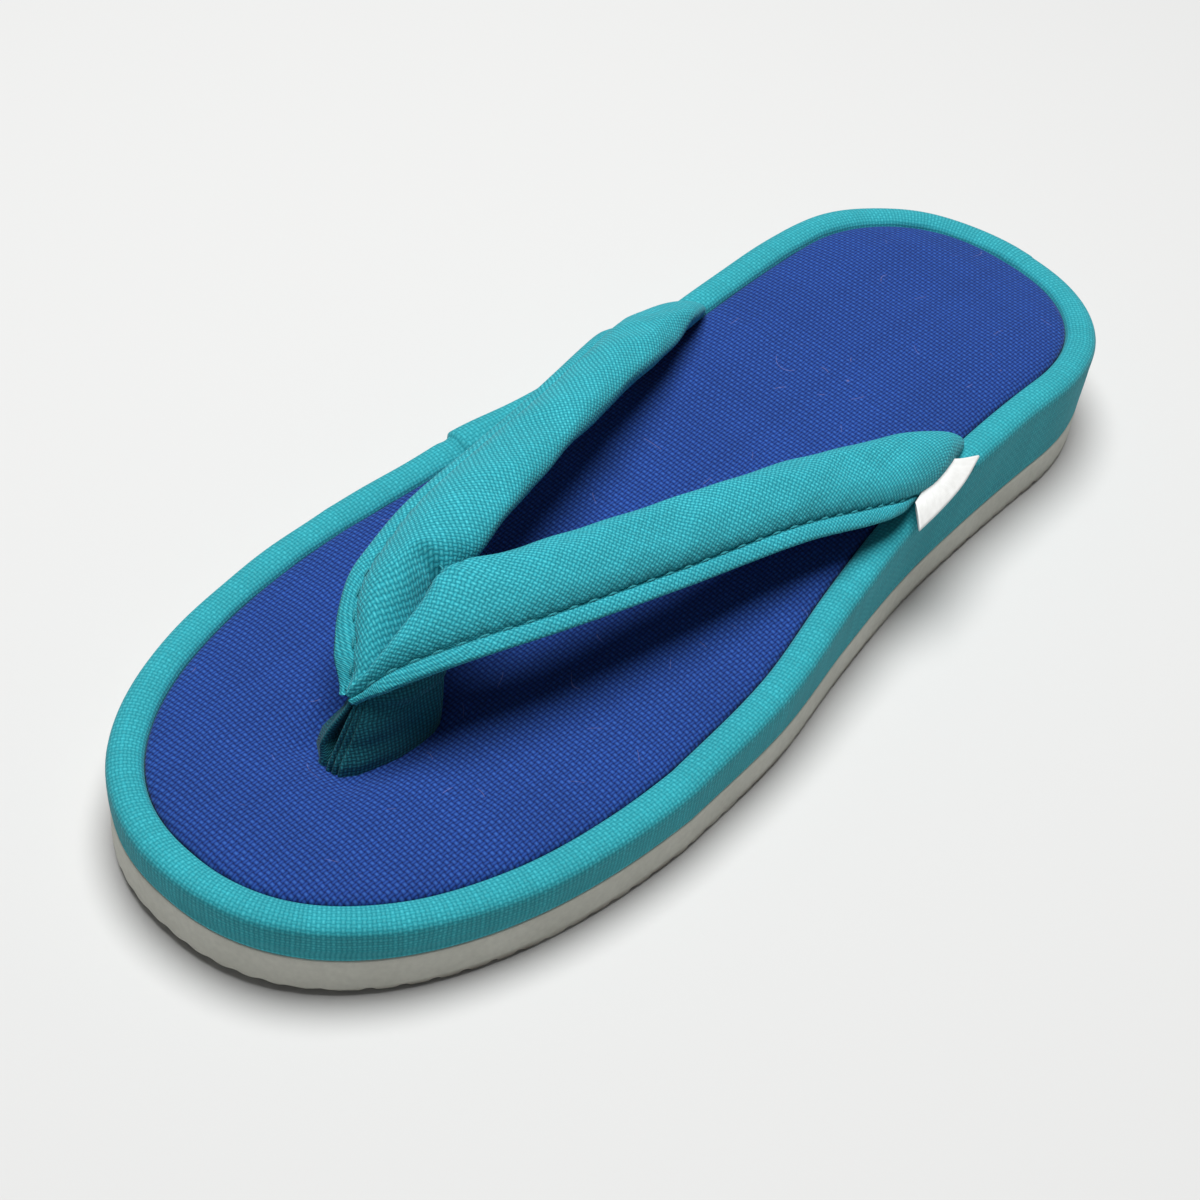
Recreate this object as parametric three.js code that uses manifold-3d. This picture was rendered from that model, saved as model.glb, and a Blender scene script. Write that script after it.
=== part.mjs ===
// Zori sandal for the left foot: a ribbed outsole, a canvas-wrapped wedge with a rolled rim,
// a padded insole, and a V of two padded straps held by a folded toe post.
// Millimetres. +X runs from heel to toe, +Y to the wearer's left (the outer side), +Z up.
// The origin is under the middle of the sandal, on the floor.
import * as THREE from 'three';
import { mergeVertices } from 'three/addons/utils/BufferGeometryUtils.js';
import Module from 'manifold-3d';

const wasm = await Module();
wasm.setup();

// ---- driving dimensions -------------------------------------------------------------------

const LENGTH = 250;
const GAP = 0.3;                 // clearance between neighbouring pieces

// outline of the sole: a round heel, a waist, a ball and a round toe
const BALL = { along: 44, half: 48.6 };
const HEEL = { along: -84, half: 37 };
const TOE_ROUND = 2.27;          // superellipse power of the toe end
const HEEL_ROUND = 2.25;         // superellipse power of the heel end

// height of the rim's inner edge above the floor, without toe spring
const RIM_HEIGHT = [
  { along: -125, up: 23.0 },
  { along: -80, up: 26.6 },
  { along: -30, up: 24.4 },
  { along: 20, up: 18.9 },
  { along: 70, up: 16.6 },
  { along: 125, up: 16.7 },
];
// half width of the sole between heel and ball
const WAIST = [
  { along: HEEL.along, half: HEEL.half },
  { along: -55, half: 37.3 },
  { along: -35, half: 38.2 },
  { along: -10, half: 41.6 },
  { along: 15, half: 46.2 },
  { along: BALL.along, half: BALL.half },
];
// sideways bow of the sole's middle line, which makes it a left sole
const BOW = [
  { along: -125, side: -3.2 },
  { along: -80, side: -3.4 },
  { along: -35, side: -1.7 },
  { along: 10, side: -0.1 },
  { along: 44, side: 0 },
  { along: 125, side: -1.1 },
];

const TOE_SPRING = { from: 71, rise: 1.8 };

const OUTSOLE = { thick: 8.8, footEdge: 0.6 };
// cross ribs under the sole: "land" is the flat that stands on the floor, "flank" the slope
// beside it, and "free" the smooth part at each tip
const RIB = { pitch: 5, land: 2.6, deep: 1.2, flank: 0.7, free: 7 };
const TIP_STATIONS = [0, 0.8, 2.6, 5];   // distances from each tip where its curve is drawn

const SOLE_STATIONS = 44;

// The wrapped wedge from its wall over the rolled rim to the seam beside the insole:
// inset from the sole's edge, and height over the seam.
const RIM_WIDE = 6.3;
const WRAP = [
  { inset: -0.3, over: -4.6 },
  { inset: -0.35, over: -2.4 },
  { inset: -0.1, over: -0.9 },
  { inset: 0.9, over: 0.35 },
  { inset: 2.8, over: 0.95 },
  { inset: 4.7, over: 0.7 },
  { inset: 5.8, over: 0.1 },
  { inset: RIM_WIDE, over: -0.8 },
];
const WEDGE_FOOT = { inset: 0.5, rise: 0.6 };
// the insole's bed: how far its edge is from the sole's edge, and its depth below the seam
const BED = { inset: RIM_WIDE + 0.1, deep: 3.2 };

// The padded insole's top, from the seam inwards.
const PAD = [
  { in: 0, over: -1.2 },
  { in: 0.5, over: -0.2 },
  { in: 1.8, over: 0.6 },
  { in: 4.5, over: 1.2 },
  { in: 10, over: 1.6 },
  { in: 20, over: 1.7 },
];

// The strap on the outer side, from the V tip back to its tucked end: a row for each section.
// "outer" is the seam beside the flange and "inner" the other long edge; across is measured
// from the middle line of the V. The strap on the inner side is its mirror image.
const V_MIDDLE = -2.0;
const STRAP = [
  { outer: [82.0, 0.6, 30.6], inner: [79.5, -0.8, 31.4], thick: 3.2 },
  { outer: [78.2, 3.2, 34.3], inner: [74.0, -1.2, 35.0], thick: 6.2 },
  { outer: [72.0, 7.2, 37.3], inner: [67.0, -1.5, 38.2], thick: 8.4 },
  { outer: [63.0, 11.8, 39.4], inner: [57.0, -1.2, 41.0], thick: 9.2 },
  { outer: [47.0, 17.2, 39.5], inner: [42.7, 3.9, 42.7], thick: 9.2 },
  { outer: [21.5, 23.2, 37.5], inner: [18.0, 10.6, 41.0], thick: 9.2 },
  { outer: [-6.0, 29.3, 35.5], inner: [-9.6, 17.0, 38.8], thick: 9.0 },
  { outer: [-22.5, 34.0, 32.8], inner: [-31.5, 22.0, 35.6], thick: 8.8 },
  { outer: [-30.0, 35.9, 31.2], inner: [-45.5, 26.0, 33.4], thick: 8.2 },
  { outer: [-34.2, 35.4, 29.0], inner: [-54.4, 29.4, 31.0], thick: 6.8 },
  { outer: [-35.4, 33.6, 26.6], inner: [-58.0, 31.4, 28.4], thick: 4.4 },
  { outer: [-35.4, 32.8, 23.4], inner: [-58.2, 31.3, 24.6], thick: 2.4 },
];
const STRAP_SECTIONS = 31;
const STRAP_OVAL = { points: 11, open: 24 };   // open is the half angle where the flange leaves
// the flange grows over its first rows behind the V tip and ends past its last row
const FLANGE = { wide: 3.0, thick: 1.6, droop: 0.6, firstRows: 3, lastRow: 8, tail: 0.5 };

// the folded tab between the toes: its front and back edges in the insole and under the V
const POST = {
  foot: { front: 88, back: 63.4, up: 13.9, half: 7.4 },
  head: { front: 82.0, back: 60.8, up: 31.5, half: 4.4 },
  backRise: 5.5,
  middle: -0.6,
};
// one side of the tab's plan, from its back edge to the front edge of one fold
const POST_SIDE = [
  { along: 0, half: 0.5 },
  { along: 0.05, half: 0.85 },
  { along: 0.16, half: 1 },
  { along: 0.5, half: 0.78 },
  { along: 0.85, half: 0.5 },
  { along: 0.96, half: 0.46 },
  { along: 1, half: 0.34 },
  { along: 1, half: 0.14 },
];
const POST_NOTCH = 0.12;         // depth of the notch between the two folds
const POST_STEPS = 3;

// the ribbon tab, sewn in along its inner edge and folded at its outer edge
const LABEL = [
  { outer: [-30.4, 39.2, 28.2], inner: [-32.0, 35.2, 28.9], thick: 1.8 },
  { outer: [-38.5, 38.4, 28.3], inner: [-38.5, 33.8, 28.8], thick: 2.0 },
  { outer: [-47.5, 36.9, 28.4], inner: [-45.5, 32.4, 28.8], thick: 2.0 },
  { outer: [-55.6, 34.6, 28.6], inner: [-51.5, 31.4, 28.8], thick: 1.8 },
];
const LABEL_SECTIONS = 10;
const LABEL_FLAT = { outer: 0.7, inner: -0.6 };   // where its flat faces end, across the tab

// ---- colours ------------------------------------------------------------------------------

const FINISH = {
  outsole: { color: 0xd9dad6, roughness: 0.75 },
  midsole: { color: 0x3cb4ba, roughness: 0.9 },
  insole: { color: 0x2a449e, roughness: 0.92 },
  upper: { color: 0x3fb6bc, roughness: 0.9 },
  toe_post: { color: 0x2c9399, roughness: 0.9 },
  label: { color: 0xf0f0ee, roughness: 0.85 },
};

// ---- small helpers ------------------------------------------------------------------------

// Value of a column at a place along the sole, on a smooth curve through the rows.
function column(rows, key, along) {
  const last = rows.length - 1;
  if (along <= rows[0].along) return rows[0][key];
  if (along >= rows[last].along) return rows[last][key];
  const i = rows.findIndex((row, n) => n < last && along < rows[n + 1].along);
  const slope = (n) => {
    const a = rows[Math.max(n - 1, 0)];
    const b = rows[Math.min(n + 1, last)];
    return (b[key] - a[key]) / (b.along - a.along);
  };
  const span = rows[i + 1].along - rows[i].along;
  const t = (along - rows[i].along) / span;
  const a = rows[i][key];
  const b = rows[i + 1][key];
  return (2 * t ** 3 - 3 * t ** 2 + 1) * a + (t ** 3 - 2 * t ** 2 + t) * span * slope(i)
    + (3 * t ** 2 - 2 * t ** 3) * b + (t ** 3 - t ** 2) * span * slope(i + 1);
}

function halfWidth(along) {
  const toeRun = LENGTH / 2 - BALL.along;
  const heelRun = LENGTH / 2 + HEEL.along;
  if (along > BALL.along) {
    const t = Math.min((along - BALL.along) / toeRun, 1);
    return BALL.half * (1 - t ** TOE_ROUND) ** (1 / TOE_ROUND);
  }
  if (along < HEEL.along) {
    const t = Math.min((HEEL.along - along) / heelRun, 1);
    return HEEL.half * (1 - t ** HEEL_ROUND) ** (1 / HEEL_ROUND);
  }
  return column(WAIST, 'half', along);
}

function spring(along) {
  const run = LENGTH / 2 - TOE_SPRING.from;
  return TOE_SPRING.rise * (Math.max(along - TOE_SPRING.from, 0) / run) ** 2;
}

function rimHeight(along) {
  return column(RIM_HEIGHT, 'up', along) + spring(along);
}

// Places along the sole, closer together where the two ends turn.
function roundStations(count) {
  return Array.from({ length: count + 1 }, (_, i) => -Math.cos((Math.PI * i) / count) * LENGTH / 2);
}

// Outline of the sole at the given stations: heel tip, outer side, toe tip, inner side.
// The inset is measured square to the edge.
function outline(stations, inset = 0) {
  const last = stations.length - 1;
  const outer = stations.map((x) => new THREE.Vector2(x, column(BOW, 'side', x) + halfWidth(x)));
  const inner = stations.slice(1, last).reverse()
    .map((x) => new THREE.Vector2(x, column(BOW, 'side', x) - halfWidth(x)));
  const edge = [...outer, ...inner];
  return edge.map((p, i) => {
    const before = edge[(i + edge.length - 1) % edge.length];
    const after = edge[(i + 1) % edge.length];
    const run = after.clone().sub(before).normalize();
    return new THREE.Vector2(p.x + run.y * inset, p.y - run.x * inset);
  });
}

// Closed solid through a stack of rings of 3-D points, all of one count, capped across.
// The caps are ladders between the two sides, so that they follow the sole's curve.
function ladderSolid(rings) {
  const count = rings[0].length;
  const positions = rings.flat().flatMap((p) => [p.x, p.y, p.z]);
  const faces = [];
  for (let r = 0; r < rings.length - 1; r += 1) {
    for (let i = 0; i < count; i += 1) {
      const a = r * count + i;
      const b = r * count + ((i + 1) % count);
      faces.push(a, a + count, b, b, a + count, b + count);
    }
  }
  const half = count / 2;
  for (const [base, flip] of [[0, false], [(rings.length - 1) * count, true]]) {
    for (let i = 0; i < half; i += 1) {
      const a = base + i;
      const b = base + i + 1;
      const c = base + ((count - i - 1) % count);
      const d = base + ((count - i) % count);
      const quad = [];
      if (i > 0) quad.push([a, b, d]);
      if (i < half - 1) quad.push([b, c, d]);
      if (i === 0) quad.splice(0, quad.length, [a, b, c]);
      for (const face of quad) faces.push(...(flip ? face.reverse() : face));
    }
  }
  return solid(positions, faces);
}

function solid(positions, faces) {
  const geometry = new THREE.BufferGeometry();
  geometry.setAttribute('position', new THREE.Float32BufferAttribute(positions, 3));
  geometry.setIndex(faces);
  return toManifold(geometry);
}

function toManifold(geometry) {
  const bare = geometry.clone();
  for (const name of ['normal', 'uv']) bare.deleteAttribute(name);
  const merged = mergeVertices(bare, 1e-4);
  const mesh = new wasm.Mesh({
    numProp: 3,
    vertProperties: new Float32Array(merged.attributes.position.array),
    triVerts: new Uint32Array(merged.index.array),
  });
  return new wasm.Manifold(mesh);
}

function part(name, body) {
  const shape = body.getMesh();
  const geometry = new THREE.BufferGeometry();
  geometry.setAttribute('position', new THREE.BufferAttribute(new Float32Array(shape.vertProperties), 3));
  geometry.setIndex(new THREE.BufferAttribute(new Uint32Array(shape.triVerts), 1));
  const mesh = new THREE.Mesh(geometry, new THREE.MeshStandardMaterial({ metalness: 0, ...FINISH[name] }));
  mesh.name = name;
  return mesh;
}

// ---- sole ---------------------------------------------------------------------------------

// Stations of the outsole: the four corners of every groove between two ribs.
function ribStations() {
  const first = -LENGTH / 2 + RIB.free;
  const grooves = Math.floor((LENGTH - 2 * RIB.free) / RIB.pitch);
  const corners = [];
  for (let i = 0; i < grooves; i += 1) {
    const start = first + i * RIB.pitch;
    const end = start + RIB.pitch - RIB.land;
    corners.push({ at: start, deep: 0 }, { at: start + RIB.flank, deep: RIB.deep });
    corners.push({ at: end - RIB.flank, deep: RIB.deep }, { at: end, deep: 0 });
  }
  return corners;
}

function outsoleBody() {
  const heelTip = TIP_STATIONS.map((from) => ({ at: from - LENGTH / 2, deep: 0 }));
  const toeTip = TIP_STATIONS.map((from) => ({ at: LENGTH / 2 - from, deep: 0 })).reverse();
  const rows = [...heelTip, ...ribStations(), ...toeTip];
  const stations = rows.map((row) => row.at);
  const grooves = rows.map((row) => row.deep);
  const last = stations.length - 1;
  const groove = (i) => grooves[i <= last ? i : 2 * last - i];
  const ring = (inset, height) => outline(stations, inset)
    .map((p, i) => new THREE.Vector3(p.x, p.y, height(i) + spring(p.x)));
  return ladderSolid([
    ring(OUTSOLE.footEdge, (i) => groove(i)),
    ring(0, (i) => groove(i) + OUTSOLE.footEdge),
    ring(0, () => OUTSOLE.thick),
  ]);
}

// Rings of the wedge and the pad are given as [inset from the sole's edge, height over the rim's
// inner edge].
function rimRing(stations, inset, over) {
  return outline(stations, inset).map((p) => new THREE.Vector3(p.x, p.y, rimHeight(p.x) + over));
}

function baseRing(stations, inset, over) {
  const foot = OUTSOLE.thick + GAP + over;
  return outline(stations, inset).map((p) => new THREE.Vector3(p.x, p.y, foot + spring(p.x)));
}

function midsoleBody() {
  const stations = roundStations(SOLE_STATIONS);
  return ladderSolid([
    baseRing(stations, WEDGE_FOOT.inset, 0),
    baseRing(stations, 0, WEDGE_FOOT.rise),
    ...WRAP.map((row) => rimRing(stations, row.inset, row.over)),
    rimRing(stations, BED.inset, -BED.deep),
  ]);
}

function insoleBody() {
  const stations = roundStations(SOLE_STATIONS);
  const start = BED.inset + GAP;
  return ladderSolid([
    rimRing(stations, start, GAP - BED.deep),
    ...PAD.map((row) => rimRing(stations, start + row.in, row.over)),
  ]);
}

// ---- straps, toe post and label -----------------------------------------------------------

// Closed solid through sections stretched between an outer and an inner rail. The profile gives
// each section's points as [across, up]: across from -1 at the inner rail to 1 at the outer one.
function railSolid(rows, count, profile) {
  const curve = (key) => new THREE.CatmullRomCurve3(rows.map((row) => new THREE.Vector3(...row[key])));
  const outer = curve('outer');
  const inner = curve('inner');
  const steps = (count - 1) / (rows.length - 1);
  const rings = Array.from({ length: count }, (_, i) => {
    const t = i / (count - 1);
    const place = i / steps;
    const o = outer.getPoint(t);
    const n = inner.getPoint(t);
    const ahead = outer.getTangent(t).add(inner.getTangent(t)).normalize();
    const across = o.clone().sub(n).multiplyScalar(0.5);
    const up = across.clone().cross(ahead).normalize();
    const middle = o.clone().add(n).multiplyScalar(0.5);
    return profile(place, across.length()).map(([s, h]) => middle.clone()
      .addScaledVector(across, s).addScaledVector(up, h));
  });
  return tubeSolid(rings);
}

// Closed solid through rings of points, with a flat fan over each end.
function tubeSolid(rings) {
  const count = rings[0].length;
  const positions = rings.flat().flatMap((p) => [p.x, p.y, p.z]);
  const faces = [];
  for (let r = 0; r < rings.length - 1; r += 1) {
    for (let i = 0; i < count; i += 1) {
      const a = r * count + i;
      const b = r * count + ((i + 1) % count);
      faces.push(a, a + count, b, b, a + count, b + count);
    }
  }
  for (const [base, flip] of [[0, false], [(rings.length - 1) * count, true]]) {
    const centre = positions.length / 3;
    const ring = rings[base / count];
    const middle = ring.reduce((sum, p) => sum.add(p), new THREE.Vector3()).divideScalar(count);
    positions.push(middle.x, middle.y, middle.z);
    for (let i = 0; i < count; i += 1) {
      const a = base + i;
      const b = base + ((i + 1) % count);
      faces.push(...(flip ? [centre, b, a] : [centre, a, b]));
    }
  }
  return solid(positions, faces);
}

// Value of a number in a row table at a fractional row.
function between(rows, key, place) {
  const i = Math.min(Math.floor(place), rows.length - 2);
  return THREE.MathUtils.lerp(rows[i][key], rows[i + 1][key], place - i);
}

// A padded strap's section: a soft oval, and the flat flange outside its seam. Grow is added
// all round, for cutting the strap's seat out of its neighbours.
function strapProfile(grow) {
  return (place, halfAcross) => {
    const high = between(STRAP, 'thick', place) / 2 + grow;
    const wide = 1 + grow / halfAcross;
    const { points, open } = STRAP_OVAL;
    const body = Array.from({ length: points }, (_, i) => {
      const turn = THREE.MathUtils.degToRad(open + ((360 - 2 * open) * i) / (points - 1));
      return [Math.cos(turn) * wide, Math.sin(turn) * high];
    });
    const grown = Math.min(FLANGE.lastRow + 1 - place, place / FLANGE.firstRows);
    const fade = THREE.MathUtils.clamp(grown, 0, 1);
    const reach = 1 + (THREE.MathUtils.lerp(FLANGE.tail, FLANGE.wide, fade) + grow) / halfAcross;
    const leaf = Math.min(FLANGE.thick / 2, high - grow) + grow;
    const drop = FLANGE.droop * fade;
    return [...body, [reach, -leaf - drop], [reach, leaf - drop]];
  };
}

function strapBody(grow = 0) {
  return railSolid(STRAP, STRAP_SECTIONS, strapProfile(grow));
}

// The V: the outer strap and its mirror image, joined along the middle seam.
function upperBody(grow = 0) {
  const outer = strapBody(grow);
  return outer.add(outer.mirror([0, 1, 0])).translate([0, V_MIDDLE, 0]);
}

// Plan of the folded tab, half width 1, from its back edge at 0 to its front folds at 1.
function foldedTabPlan(notch) {
  const plan = new THREE.Shape();
  for (const { along, half } of POST_SIDE) plan.lineTo(along, half);
  plan.lineTo(1 - notch, 0);
  for (const { along, half } of [...POST_SIDE].reverse()) plan.lineTo(along, -half);
  plan.closePath();
  return plan;
}

// The tab stands in the insole and leans back up to the V. Its seat is grown all round and has
// no notch.
function toePostBody(grow = 0) {
  const plan = foldedTabPlan(grow > 0 ? 0 : POST_NOTCH);
  const geometry = new THREE.ExtrudeGeometry(plan, { depth: 1, steps: POST_STEPS, bevelEnabled: false });
  const spots = geometry.attributes.position;
  for (let i = 0; i < spots.count; i += 1) {
    const rise = spots.getZ(i);
    const edge = (key) => THREE.MathUtils.lerp(POST.foot[key], POST.head[key], rise);
    const along = THREE.MathUtils.lerp(edge('back') - grow, edge('front') + grow, spots.getX(i));
    const across = spots.getY(i) * (edge('half') + grow);
    const slope = rise * POST.backRise * (1 - spots.getX(i));
    const sink = rise === 0 ? grow : 0;
    spots.setXYZ(i, along, POST.middle + across, edge('up') + slope - sink);
  }
  return toManifold(geometry);
}

function labelBody() {
  const { outer, inner } = LABEL_FLAT;
  return railSolid(LABEL, LABEL_SECTIONS, (place) => {
    const high = between(LABEL, 'thick', place) / 2;
    return [[1, 0], [outer, high], [inner, high], [-1, 0], [inner, -high], [outer, -high]];
  });
}

// ---- assembly -----------------------------------------------------------------------------

function zoriSandal() {
  const upper = upperBody();
  const upperSeat = upperBody(GAP);
  const post = toePostBody().subtract(upperSeat);
  const group = new THREE.Group();
  group.add(
    part('outsole', outsoleBody()),
    part('midsole', midsoleBody().subtract(upperSeat)),
    part('insole', insoleBody().subtract(upperSeat).subtract(toePostBody(GAP))),
    part('upper', upper),
    part('toe_post', post),
    part('label', labelBody().subtract(upperSeat)),
  );
  return group;
}

export default zoriSandal();
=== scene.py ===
"""Zori sandal for the left foot: a ribbed foam outsole, a canvas-wrapped wedge with a rolled rim,
a padded canvas insole, and a V of padded canvas straps held by a folded toe post."""
import math

import bmesh
import bpy
import numpy as np
from mathutils import Matrix, Vector
from mathutils.bvhtree import BVHTree


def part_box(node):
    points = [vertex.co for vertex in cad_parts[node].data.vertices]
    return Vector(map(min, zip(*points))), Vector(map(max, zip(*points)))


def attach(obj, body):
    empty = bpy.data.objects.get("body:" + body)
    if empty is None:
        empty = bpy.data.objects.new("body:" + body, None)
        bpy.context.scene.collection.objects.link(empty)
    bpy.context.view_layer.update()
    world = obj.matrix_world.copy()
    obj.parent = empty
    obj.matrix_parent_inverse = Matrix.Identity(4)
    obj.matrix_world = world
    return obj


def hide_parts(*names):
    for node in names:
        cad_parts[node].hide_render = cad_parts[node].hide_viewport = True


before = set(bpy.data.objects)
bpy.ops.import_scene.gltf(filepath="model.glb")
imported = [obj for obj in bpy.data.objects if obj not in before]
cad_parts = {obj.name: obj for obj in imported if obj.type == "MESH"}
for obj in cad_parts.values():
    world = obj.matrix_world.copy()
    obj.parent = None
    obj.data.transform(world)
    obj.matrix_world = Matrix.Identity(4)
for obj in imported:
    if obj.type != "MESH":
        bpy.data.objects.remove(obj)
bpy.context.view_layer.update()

MM = 0.001

# ---- sizes in millimetres ------------------------------------------------------------------
# +X runs from heel to toe, +Y to the wearer's left, which is the outer side, +Z up.

SOLE_LOW, SOLE_HIGH = (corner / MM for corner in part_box("outsole"))
LENGTH = SOLE_HIGH.x - SOLE_LOW.x
BALL = {"along": 44.0, "half": 48.6}
HEEL = {"along": -84.0, "half": 37.0}
TOE_ROUND = 2.27                 # superellipse powers of the two ends
HEEL_ROUND = 2.25
WAIST = {
    "along": [HEEL["along"], -55, -35, -10, 15, BALL["along"]],
    "half": [HEEL["half"], 37.3, 38.2, 41.6, 46.2, BALL["half"]],
}
BOW = {
    "along": [-125, -80, -35, 10, 44, 125],
    "side": [-3.2, -3.4, -1.7, -0.1, 0, -1.1],
}
RIM_HEIGHT = {
    "along": [-125, -80, -30, 20, 70, 125],
    "up": [23.0, 26.6, 24.4, 18.9, 16.6, 16.7],
}
TOE_SPRING = {"from": 71.0, "rise": 1.8}
GAP = 0.3                        # clearance between neighbouring pieces

OUTSOLE_THICK = 8.8
FOOT_ROUND = 0.9                 # rounding of the outsole's bottom edge
RIB = {"pitch": 5.0, "groove": 2.4, "deep": 1.2, "free": 7.0, "edge_share": 0.5, "edge_high": 3.5}
FIRST_GROOVE = -LENGTH / 2 + RIB["free"]
GROOVES = math.floor((LENGTH - 2 * RIB["free"]) / RIB["pitch"])
RIB_TURN = {"before_tip": 16, "over": 6}     # where the scalloped edge turns round the tips
TIP_STATIONS = 44                # sections close to each tip, where the outline turns
RIB_UNEVEN = {"share": 0.35, "size": 17}

# the wrapped wedge, from its wall over the rolled rim to the seam beside the insole:
# inset from the sole's edge, and height over the seam
WRAP = {
    "inset": [-0.3, -0.4, -0.3, 0.55, 2.6, 4.7, 5.8, 6.3],
    "over": [-4.6, -2.2, -0.7, 0.4, 0.95, 0.7, 0.1, -0.8],
}
BED = {"inset": 6.4, "deep": 3.2}
WRAP_LAP = {"at": 13.0, "lip": 0.7, "proud": 0.8, "fade": 22.0}
WRAP_COLUMNS = 1000
WRAP_SLACK = {"high": 0.13, "size": 26}

# the padded insole's top, from its seam inwards
PAD = {
    "in": [0.0, 0.2, 0.8, 1.9, 3.6, 6.0, 10.0, 16.0],
    "over": [-0.9, -0.35, 0.1, 0.5, 0.85, 1.15, 1.5, 1.7],
}
PAD_GAP = 0.06                   # the pad is pressed close to the rim
PAD_COLUMNS = 560
PAD_UNEVEN = {"high": 0.12, "size": 32}
DIMPLE = [(1.7, 6.5), (1.0, 3.0)]    # how deep the post pulls the insole's cloth, and how far away

# the strap on the outer side, from the V tip back to its tucked end: the seam beside the flange,
# the other long edge, and the padding's thickness; across is measured from the V's middle line
V_MIDDLE = -2.0
STRAP = {
    "outer": [(82.0, 0.6, 30.6), (78.2, 3.2, 34.3), (72.0, 7.2, 37.3), (63.0, 11.8, 39.4),
              (47.0, 17.2, 39.5), (21.5, 23.2, 37.5), (-6.0, 29.3, 35.5), (-22.5, 34.0, 32.8),
              (-30.0, 35.9, 31.2), (-36.2, 35.8, 29.1), (-37.4, 34.0, 26.7), (-37.4, 33.1, 23.4)],
    "inner": [(79.5, -0.8, 31.4), (74.0, -1.2, 35.0), (67.0, -1.5, 38.2), (57.0, -1.2, 41.0),
              (42.7, 3.9, 42.7), (18.0, 10.6, 41.0), (-9.6, 17.0, 38.8), (-31.5, 22.0, 35.6),
              (-45.5, 26.0, 33.4), (-54.4, 29.4, 31.0), (-58.0, 31.4, 28.4), (-58.2, 31.3, 24.6)],
    "thick": [3.2, 6.2, 8.4, 9.2, 9.2, 9.2, 9.0, 8.8, 8.2, 6.8, 4.4, 2.4],
}
INNER_SHORTER = {"by": 7.0, "from": -14.0}   # the strap on the inner side ends a little earlier
# near the V the strap on the inner side is plumper: how far its long edges are pushed out
INNER_WIDER = {
    "along": [10, 36, 48, 60, 69, 74, 79, 84],
    "outer_edge": [0, 0.9, 1.3, 1.3, 1.8, 1.4, 0.5, 0],
    "inner_edge": [0, 1.0, 1.1, 0, 0, 0, 0, 0],
}
WIDER_FROM = {"in": 4, "over": 6}    # how far inside its edges that push starts, and over what width
# behind, it comes down over the rim, its outer edge most
INNER_END_LOW = {"from": -20.0, "over": 16.0, "above": 26, "side": 0.4, "down": 0.5,
                 "edge_from": 25, "edge_over": 9, "edge_down": 1.7}
STRAP_STEP = {"near_v": 0.27, "behind": 0.56, "rows_near_v": 4.2}    # spacing of its sections
BODY_COLUMNS = 84
BODY_OPENING = 13                # degrees at each side of the seam beside the flange
COVER_STEP = 4                   # the cover is simulated through every fourth point
COVER_FREE = {"from_row": 0.4, "to_row": 8.2, "columns_held": 2}
STRAP_TIGHT = 0.7                # its cover is cut this much narrower than the padding pushes it
# soft unevenness of the padding under its cover
LUMPS = {"high": 0.24, "size": 15, "girth": 11, "from_row": 0.8, "to_row": 8.6}
FLANGE = {"wide": 3.7, "tip": 1.9, "leaf": 0.7, "tail": 0.4, "last_row": 8.9, "slit": 0.7}
FLANGE_DROOP = {"row": [0, 0.7, 1.8, 3, 11], "degrees": [30, 26, 20, 12, 12]}
# the padding: pressure on the cover, and how far it may move; simulated enlarged by the scale
PLUMP = {"pressure": 0.32, "frames": 20, "most": 0.9, "slack": 0.003, "bending": 5.0, "scale": 20,
         "quality": 6, "mass": 0.1}
STITCH_PITCH = 4.2
STITCH = {"long": 2.0, "thick": 0.42, "sunk": 0.35, "arch": 0.22, "points": 7, "sides": 8}
STITCH_PULL = {"in": 0.25, "down": 0.2}      # how far the cover bulges between stitches and dips at them

# the seam down the middle of the V, from the crotch to the tip: how far it runs to the side, how
# deep it lies, and how far from it each strap's padding starts to roll down to it
V_SEAM = {
    "along": [44, 49, 53, 56, 58, 60, 66, 72, 78, 84],
    "side": [0.0, -0.5, -1.7, -2.5, -2.9, -2.4, -0.2, 0.9, 1.6, 0.9],
    "reach": [6.0, 6.0, 6.0, 6.5, 7.0, 7.0, 6.0, 5.0, 4.0, 4.0],
    "deep": [0.0, 0.6, 1.7, 2.4, 5.0, 5.9, 6.0, 4.7, 1.9, 0.0],
    "inner_roll": [5.5, 5.5, 5.5, 5.6, 6.2, 6.6, 6.6, 5.8, 4.4, 3.0],
    "outer_roll": [3.4, 3.4, 3.2, 3.0, 2.8, 2.6, 2.2, 2.0, 1.8, 1.6],
}
V_TOP = {"padding": 3.5, "deep": 7.0, "over": 3.0}   # only the straps' upper half is pressed down
TIP_FILL = {"from": 79.3, "by": 1.3, "wide": 1.2}    # closes the gap between the two flanges' tips
NOTCH = {"along": 58.3, "deep": 2.4, "wide": 0.8, "pucker": 0.4, "pucker_wide": 3.6, "puckers": 5}
# small tack stitches by hand: place along and across, direction in degrees from +X, length
TACKS = [(57.0, -4.9, 70, 1.9), (59.6, -4.3, 110, 1.8), (58.0, -3.7, 20, 1.5),
         (80.9, -0.9, 80, 2.4), (81.7, -1.0, 98, 2.6), (82.4, -1.2, 88, 2.4)]

# the folded tab between the toes
POST = {
    "foot": {"front": 89.4, "back": 65.8, "up": 13.9, "half": 7.7, "middle": -0.7},
    "head": {"front": 82.2, "back": 63.4, "up": 31.5, "half": 4.5, "middle": 0.3},
    "back_rise": 5.5,
    "belly": 0.9,                # how far the front edge bulges between foot and head
    "side_belly": 0.5,           # and how far its sides do
    "uneven": {"high": 0.55, "size": 13},
    "tuck": {"deep": 1.4, "over": 0.07},     # the fold across each side, close to the V
}
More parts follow.
